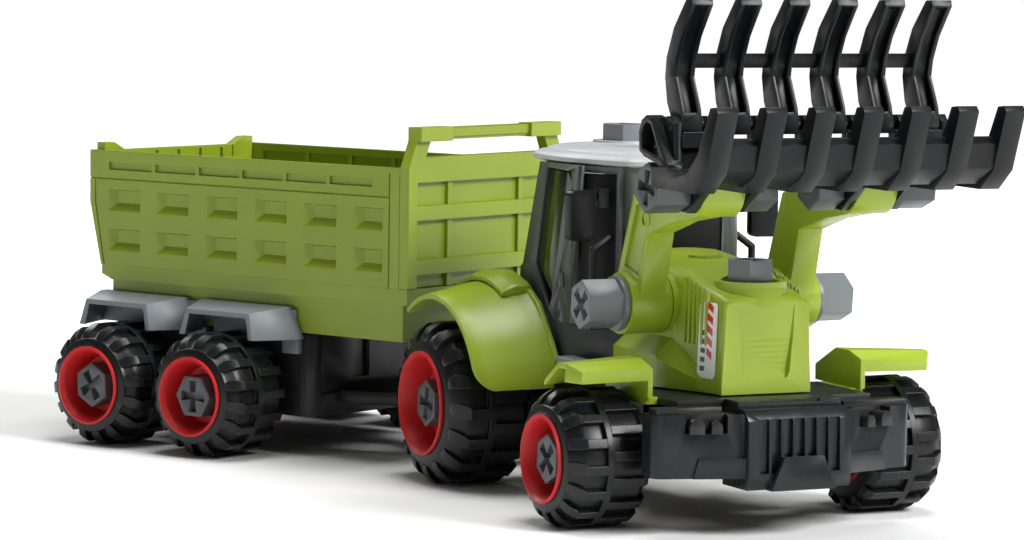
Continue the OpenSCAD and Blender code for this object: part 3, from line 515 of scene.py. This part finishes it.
def mouth():
    """Recess of the grille, shallow at its top and deepest low down."""
    bm = bmesh.new()
    front = [bm.verts.new((x, -93, z)) for x, z in MOUTH]
    backs = []
    for x, z in MOUTH:
        narrowed = x * (0.9 if abs(x) > 9 else 0.95)
        raised = z + (0.9 if z < 52 else 0)
        backs.append(bm.verts.new((narrowed, NOSE_Y + MOUTH_DEPTH[z], raised)))
    close_between(bm, front, backs)
    return bm


def hood_shell():
    """The whole hood: bosses of the screw and of the loader pivots, the nose recess, side slots."""
    adds = [cone(13.9, HOOD_SCREW, 74, 82.4, "z", BOSS_STEPS, 12.9),
            cone(12.8, HOOD_SCREW, 75, 84.4, "z", BOSS_STEPS)]
    for s in (-1, 1):
        lo, hi = sorted((s * 15, s * 21.4))
        at_lo, at_hi = PIVOT_BOSS_INNER, PIVOT_BOSS_OUTER
        if s < 0:
            at_lo, at_hi = at_hi, at_lo
        adds.append(cone(at_lo, (PIVOT_Y, PIVOT_Z), lo, hi, r2=at_hi))
    cuts = [cone(10.3, HOOD_SCREW, 82.2, 90, "z", BOSS_STEPS), mouth()]
    for s in (-1, 1):
        lo, hi = sorted((s * 17.2, s * 22))
        for i in range(SLOTS):
            y = FIRST_SLOT_Y + i * LOUVRE_PITCH
            slot = bmesh.new()
            prism(slot, [(y - 0.55, 62.6), (y + 0.55, 62.6), (y + 0.55, 79.4 + i * LOUVRE_RISE),
                         (y - 0.55, 79.0 + i * LOUVRE_RISE)], lo, hi)
            cuts.append(slot)
    made = combine(hood_block(), cuts, adds)
    o = piece("hood_shell", made, "tractor", TRACTOR, GREEN, bevel=0.55, segments=3,
              angle=28, smooth=50)
    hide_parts("hood")


def hood_slats():
    """Slats inside the recess of the nose."""
    bm = bmesh.new()
    for i in range(SLATS):
        z = 52.6 + i * SLAT_PITCH
        y0 = NOSE_Y + 1.9 - (z - 53.4) * 0.9 / 12.6
        half = 8.6 + (z - 52) * 0.075
        prism(bm, [(y0 - 0.3, z), (y0 + 0.6, z + 0.1), (y0 + 0.6, z + 1.6), (y0 - 0.02, z + 1.6)],
              -half, half)
    piece("hood_slats", bm, "tractor", TRACTOR, GREEN, bevel=0.15, segments=2)


def hood_louvres():
    """Raised bars between the slots of both cheeks."""
    bm = bmesh.new()
    for s in (-1, 1):
        for i in range(BARS):
            y = FIRST_BAR_Y + i * LOUVRE_PITCH
            top = 80.4 + i * LOUVRE_RISE
            cheek = 18.55 + i * 0.14
            lo, hi = sorted((s * (cheek - 1.2), s * (cheek + 0.55)))
            prism(bm, [(y - 0.65, 62.8), (y, 62.0), (y + 0.65, 62.8), (y + 0.65, top), (y, top + 1.0),
                       (y - 0.65, top)], lo, hi)
    piece("hood_louvres", bm, "tractor", TRACTOR, GREEN, bevel=0.3, segments=2)


def hood_arc():
    """Embossed arc on the top near the cab."""
    bm = bmesh.new()
    for k in range(10):
        ends = [math.radians(200 + 14 * j) for j in (k, k + 1)]
        outer = [(7.5 * math.cos(a), -44 + 5.5 * math.sin(a)) for a in ends]
        inner = [(6.7 * math.cos(a), -44 + 4.8 * math.sin(a)) for a in ends]
        prism(bm, [outer[0], outer[1], inner[1], inner[0]], 89.2, 90.75, axis="z")
    piece("hood_arc", bm, "tractor", TRACTOR, GREEN, bevel=0.15)


hood_shell()
hood_slats()
hood_louvres()
hood_arc()

# ---------------------------------------------------------------- rake
HINGE_PITCH = 18.44
PLATE_Y, PLATE_Z = (-121.0, -119.7), (133.0, 138.4)
PLATE_SPANS = [(i * HINGE_PITCH - 5.4, i * HINGE_PITCH + 5.4) for i in range(-2, 3)]
PLATE_SPANS += [(-50.2, -41.5), (41.5, 50.2)]
bm = bmesh.new()
for left, right in PLATE_SPANS:
    box(bm, (left, PLATE_Y[0], PLATE_Z[0]), (right, PLATE_Y[1], PLATE_Z[1]))
piece("rake_hinge_plates", bm, "rake", TRACTOR, BLACK, bevel=0.3)


# ---------------------------------------------------------------- cab roof
ROOF_PLAN = [(-22, -30), (22, -30), (31, -4), (32.5, 10), (30.6, 34), (26, 37), (-26, 37), (-30.6, 34),
             (-32.5, 10), (-31, -4)]
ROOF_MIDDLE, ROOF_HALF_WIDTH = (0, 4), 32.5
# how far each ring is drawn in, and its height
ROOF_RINGS = [(1.6, 120.5), (0.0, 121.3), (0.0, 122.8), (0.9, 123.8), (3.0, 124.7), (4.4, 125.0),
              (5.2, 125.7), (8.0, 126.6), (13.0, 127.3)]
ROOF_SCREW = (0, 18.6)
# the slot of a vent and the wider step around it, as two corners each
VENT_CUTS = [((-5.2, -0.9, 125.6), (5.2, 0.9, 129)), ((-6.2, -2.0, 126.9), (6.2, 1.9, 129))]


def roof_outline(inset, radius=5.0, steps=5):
    """The roof's plan with rounded corners, drawn in towards its middle."""
    corners = [Vector(p) for p in ROOF_PLAN]
    middle = Vector(ROOF_MIDDLE)
    out = []
    for i, b in enumerate(corners):
        a, c = corners[i - 1], corners[(i + 1) % len(corners)]
        reach_a, reach_c = min(radius, (a - b).length * 0.45), min(radius, (c - b).length * 0.45)
        p0, p1 = b + (a - b).normalized() * reach_a, b + (c - b).normalized() * reach_c
        for k in range(steps + 1):
            t = k / steps
            q = (1 - t) ** 2 * p0 + 2 * t * (1 - t) * b + t * t * p1
            out.append(middle + (q - middle) * (1 - inset / ROOF_HALF_WIDTH))
    return out


def roof():
    """Domed roof with a rolled rim, a raised middle, slanted vents and a boss for its screw."""
    bm = bmesh.new()
    rings = [[bm.verts.new((p.x, p.y, z)) for p in roof_outline(inset)] for inset, z in ROOF_RINGS]
    n = len(rings[0])
    for a, b in zip(rings, rings[1:]):
        for k in range(n):
            bm.faces.new([a[k], a[(k + 1) % n], b[(k + 1) % n], b[k]])
    bm.faces.new(list(reversed(rings[0])))
    bm.faces.new(rings[-1])
    boss = cone(12.4, ROOF_SCREW, 124, 127.98, "z", BOSS_STEPS, 11.4)
    cuts = [cone(4.02, ROOF_SCREW, 119, 129, "z")]
    for s in (-1, 1):
        for i in range(3):
            place = Matrix.Translation((s * (9.5 + 1.6 * i), -15.5 + i * 6.2, 0))
            vent = place @ Matrix.Rotation(s * 0.42, 4, "Z")
            for lo, hi in VENT_CUTS:
                cut = bmesh.new()
                box(cut, lo, hi, vent)
                cuts.append(cut)
    made = combine(bm, cuts, [boss])
    o = piece("roof_shell", made, "tractor", TRACTOR, PALE, bevel=0.4, segments=2, angle=28)
    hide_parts("cab_roof")


roof()

# ---------------------------------------------------------------- labels
LABEL = plastic("label_film", (0.86, 0.86, 0.85), rough=0.3, tint=0.02, grain=2500, bump=0.02)
LABEL_RED = plastic("label_red", (0.62, 0.01, 0.012), rough=0.3, tint=0.04)
LABEL_BLACK = plastic("label_black", (0.012, 0.012, 0.013), rough=0.3, tint=0.04)
LABEL_PLACE = (-18.3, -82.1, 64.4)
LABEL_TURN, LABEL_LEAN = math.radians(4.6), math.radians(2.0)
LABEL_SIZE = (10.6, 26.4, 2.0)
MARKS = 5


def rounded(w, h, r, steps=6):
    """Outline of a rectangle with rounded corners."""
    pts = []
    corners = ((w / 2 - r, h / 2 - r, 0), (-w / 2 + r, h / 2 - r, 90), (-w / 2 + r, -h / 2 + r, 180),
               (w / 2 - r, -h / 2 + r, 270))
    for cx, cy, a0 in corners:
        for k in range(steps + 1):
            a = math.radians(a0 + 90 * k / steps)
            pts.append((cx + r * math.cos(a), cy + r * math.sin(a)))
    return pts


def label(side):
    """White film with a plain pattern of bars: no lettering."""
    mirror = Matrix.Scale(-1, 4, (1, 0, 0)) if side > 0 else Matrix.Identity(4)
    turn = Matrix.Rotation(LABEL_TURN, 4, "Z")
    m = TRACTOR @ mirror @ Matrix.Translation(LABEL_PLACE) @ turn @ Matrix.Rotation(LABEL_LEAN, 4, "Y")
    tag = "left" if side > 0 else "right"
    bm = bmesh.new()
    prism(bm, rounded(*LABEL_SIZE), -0.35, 0.3)
    o = piece("label_" + tag, bm, "tractor", m, LABEL, bevel=0.08)
    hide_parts("hood_stickers")
    bm = bmesh.new()
    for i in range(MARKS):
        z = -6.5 + i * 4.0
        prism(bm, [(-3.4, z), (-0.2, z + 1.6), (-0.2, z + 4.0), (-3.4, z + 2.4)], -0.45, 0.0)
    piece("label_bars_" + tag, bm, "tractor", m, LABEL_RED)
    bm = bmesh.new()
    for i in range(MARKS):
        z = -10.8 + i * 3.1
        prism(bm, [(0.9, z), (3.5, z), (3.5, z + 1.7), (0.9, z + 1.7)], -0.45, 0.0)
    piece("label_squares_" + tag, bm, "tractor", m, LABEL_BLACK)


label(-1)
label(1)

# ---------------------------------------------------------------- studio
WHITE = (1, 1, 1)
AIM = Vector((0, 0, 0.08))
# name, place, width, power
LIGHTS = [("key", (0.85, -1.4, 1.25), 0.8, 46),
          ("fill", (-1.6, -0.5, 0.9), 0.7, 0.6),
          ("rim", (-0.3, 1.4, 1.2), 0.9, 12),
          ("top", (0.1, -0.1, 1.8), 0.9, 21)]
WORLD_LIGHT = 0.12
FLOOR_REACH = 12
GLOW_FROM, GLOW_FULL, GLOW = 0.22, 1.1, 0.9
SENSOR_WIDTH, LENS = 36, 133.94
CAMERA_PLACE = Vector((-645.2, -1230.6, 199.7))
CAMERA_BACK = (-0.43144, -0.89809, 0.08542)
CAMERA_ROLL = math.radians(0.83)


def area_light(name, place, size, power):
    data = bpy.data.lights.new(name, "AREA")
    data.shape = "RECTANGLE"
    data.size = size
    data.size_y = size
    data.energy = power
    data.color = WHITE
    o = bpy.data.objects.new(name, data)
    o.location = place
    o.rotation_mode = "QUATERNION"
    o.rotation_quaternion = (AIM - Vector(place)).to_track_quat("-Z", "Y")
    bpy.context.scene.collection.objects.link(o)


def floor():
    """White ground that glows away from the toy, so that the backdrop stays an even white."""
    bm = bmesh.new()
    s = FLOOR_REACH
    vs = [bm.verts.new((x, y, 0)) for x, y in ((-s, -s), (s, -s), (s, s), (-s, s))]
    bm.faces.new(vs)
    mesh = bpy.data.meshes.new("floor")
    bm.to_mesh(mesh)
    bm.free()
    m, tree, bsdf = node_material("pale_floor")
    n = noise(tree, 4, 3)
    r = ramp(tree, n, [(0.3, (0.885,) * 3), (0.7, (0.9,) * 3)])
    link(tree, r, "Color", bsdf, "Base Color")
    bsdf.inputs["Roughness"].default_value = 0.75
    bsdf.inputs["Specular IOR Level"].default_value = 0.1
    coord = tree.nodes.new("ShaderNodeTexCoord")
    reach = tree.nodes.new("ShaderNodeVectorMath")
    reach.operation = "LENGTH"
    link(tree, coord, "Object", reach, "Vector")
    glow = tree.nodes.new("ShaderNodeMapRange")
    glow.interpolation_type = "SMOOTHSTEP"
    glow.inputs["From Min"].default_value = GLOW_FROM
    glow.inputs["From Max"].default_value = GLOW_FULL
    glow.inputs["To Max"].default_value = GLOW
    link(tree, reach, "Value", glow, "Value")
    bsdf.inputs["Emission Color"].default_value = (1, 1, 1, 1)
    link(tree, glow, "Result", bsdf, "Emission Strength")
    mesh.materials.append(m)
    o = bpy.data.objects.new("floor", mesh)
    bpy.context.scene.collection.objects.link(o)


def set_camera():
    """Long lens on the toy's front left, rolled a little as in the reference."""
    data = bpy.data.cameras.new("camera")
    data.sensor_width = SENSOR_WIDTH
    data.lens = LENS
    data.clip_end = 60
    o = bpy.data.objects.new("camera", data)
    o.location = TRACTOR @ CAMERA_PLACE
    back = Vector(CAMERA_BACK).normalized()
    heading = math.atan2(CAMERA_BACK[0], -CAMERA_BACK[1])
    level = Vector((math.cos(heading), math.sin(heading), 0))
    above = back.cross(level).normalized()
    right = math.cos(CAMERA_ROLL) * level + math.sin(CAMERA_ROLL) * above
    up = -math.sin(CAMERA_ROLL) * level + math.cos(CAMERA_ROLL) * above
    o.rotation_mode = "QUATERNION"
    o.rotation_quaternion = Matrix((right, up, back)).transposed().to_quaternion()
    bpy.context.scene.collection.objects.link(o)
    bpy.context.scene.camera = o


floor()
world = bpy.data.worlds.new("studio")
world.use_nodes = True
world.node_tree.nodes["Background"].inputs["Color"].default_value = (1, 1, 1, 1)
world.node_tree.nodes["Background"].inputs["Strength"].default_value = WORLD_LIGHT
bpy.context.scene.world = world
for light in LIGHTS:
    area_light(*light)
bpy.context.scene.view_settings.view_transform = "Standard"
set_camera()
